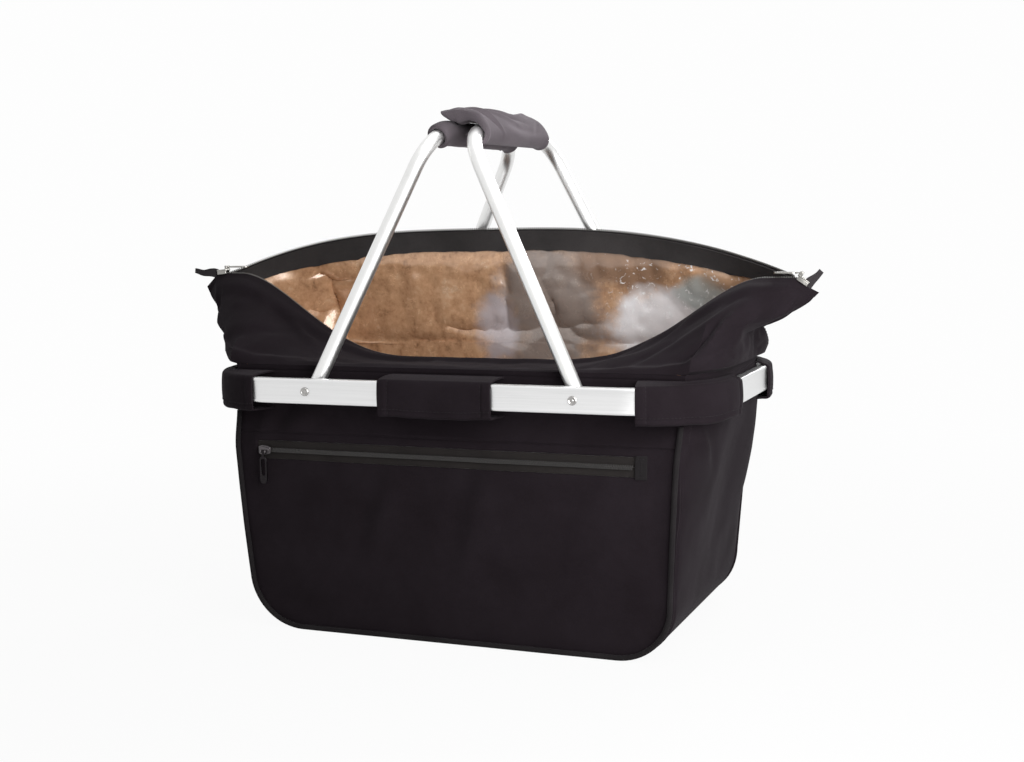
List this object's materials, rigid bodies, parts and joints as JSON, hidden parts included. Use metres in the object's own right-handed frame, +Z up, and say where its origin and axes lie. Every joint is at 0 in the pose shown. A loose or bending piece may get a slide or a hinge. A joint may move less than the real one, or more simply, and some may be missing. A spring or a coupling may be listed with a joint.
{
  "type": "insulated shopping basket",
  "caption": "Soft insulated shopping basket hung in an aluminium ring, with a zip mouth and bail handles that fold down to the ends.",
  "frame": {"origin": "middle of the flat underside of the bottom panel, on the surface that the bag stands on", "axes": "+X to the right along the long side, +Y to the back, +Z up; the front with its zip pocket faces -Y"},
  "size_m": [0.624, 0.286, 0.4674],
  "materials": {
    "outer_fabric": "near-black charcoal woven polyester",
    "trim_fabric": "black binding tape",
    "grip_fabric": "dark grey padded fabric",
    "aluminium": "satin anodised",
    "nickel": "bright nickel plate",
    "zip_tape": "woven zip tape",
    "zip_plastic": "dark moulded zip chain",
    "foam": "closed-cell foam sheet",
    "foil_liner": "wrinkled metallised film",
    "board_plastic": "stiff board",
    "nylon": "natural nylon"
  },
  "bodies": {
    "bag": {"frame_ring": "aluminium", "frame_splice": "aluminium", "splice_rivet_left": "nickel", "splice_rivet_right": "nickel", "pivot_rivet_front_left": "nickel", "pivot_rivet_front_right": "nickel", "pivot_rivet_back_left": "nickel", "pivot_rivet_back_right": "nickel", "pivot_spacer_front_left": "nylon", "pivot_spacer_front_right": "nylon", "pivot_spacer_back_left": "nylon", "pivot_spacer_back_right": "nylon", "corner_loop_front_left": "outer_fabric", "corner_loop_front_right": "outer_fabric", "corner_loop_back_left": "outer_fabric", "corner_loop_back_right": "outer_fabric", "middle_loop_front": "outer_fabric", "middle_loop_back": "outer_fabric", "front_panel": "outer_fabric", "back_panel": "outer_fabric", "side_panel_left": "outer_fabric", "side_panel_right": "outer_fabric", "bottom_panel": "outer_fabric", "piping_front": "trim_fabric", "piping_back": "trim_fabric", "base_board": "board_plastic", "foam_bottom": "foam", "foam_front": "foam", "foam_back": "foam", "foam_left": "foam", "foam_right": "foam", "liner_tub": "foil_liner", "upper_wall_front": "outer_fabric", "upper_wall_back": "outer_fabric", "upper_foam_front": "foam", "upper_foam_back": "foam", "upper_liner_front": "foil_liner", "upper_liner_back": "foil_liner", "rim_band_front": "zip_tape", "rim_band_back": "zip_tape", "zip_teeth_front": "zip_plastic", "zip_teeth_back": "zip_plastic", "zip_slider_left": "nickel", "zip_slider_right": "nickel", "zip_end_tab_left": "trim_fabric", "zip_end_tab_right": "trim_fabric", "pocket_zip_tape_lower": "zip_tape", "pocket_zip_tape_upper": "zip_tape", "pocket_zip_teeth": "zip_plastic", "pocket_zip_patch": "outer_fabric", "pocket_lining": "zip_tape"},
    "left_bail": {"handle_left": "aluminium", "grip_left": "grip_fabric"},
    "right_bail": {"handle_right": "aluminium", "grip_right_wrap": "grip_fabric", "grip_hook_tape": "zip_tape"},
    "pocket_slider": {"pocket_slider": "zip_plastic"},
    "pocket_pull": {"pocket_pull": "zip_plastic"},
    "zip_pull_left": {"zip_pull_left": "trim_fabric"},
    "zip_pull_right": {"zip_pull_right": "trim_fabric"}
  },
  "joints": [
    {"name": "left_handle_fold", "type": "hinge", "parent": "bag", "child": "left_bail", "pos_m": [-0.123, 0, 0.222], "axis": [0, -1, 0], "range_deg": [0, 85]},
    {"name": "right_handle_fold", "type": "hinge", "parent": "bag", "child": "right_bail", "pos_m": [0.123, 0, 0.222], "axis": [0, 1, 0], "range_deg": [0, 85]},
    {"name": "pocket_zip_slide", "type": "slide", "parent": "bag", "child": "pocket_slider", "axis": [1, 0, 0], "range_m": [0, 0.337]},
    {"name": "pocket_pull_swing", "type": "hinge", "parent": "pocket_slider", "child": "pocket_pull", "pos_m": [-0.1765, -0.12532, 0.1645], "axis": [-1, 0, 0], "range_deg": [0, 150]},
    {"name": "left_zip_pull_swing", "type": "hinge", "parent": "bag", "child": "zip_pull_left", "pos_m": [-0.28588, 0, 0.32457], "axis": [0, -1, 0], "range_deg": [0, 140]},
    {"name": "right_zip_pull_swing", "type": "hinge", "parent": "bag", "child": "zip_pull_right", "pos_m": [0.28128, 0, 0.31875], "axis": [0, 1, 0], "range_deg": [0, 140]}
  ]
}
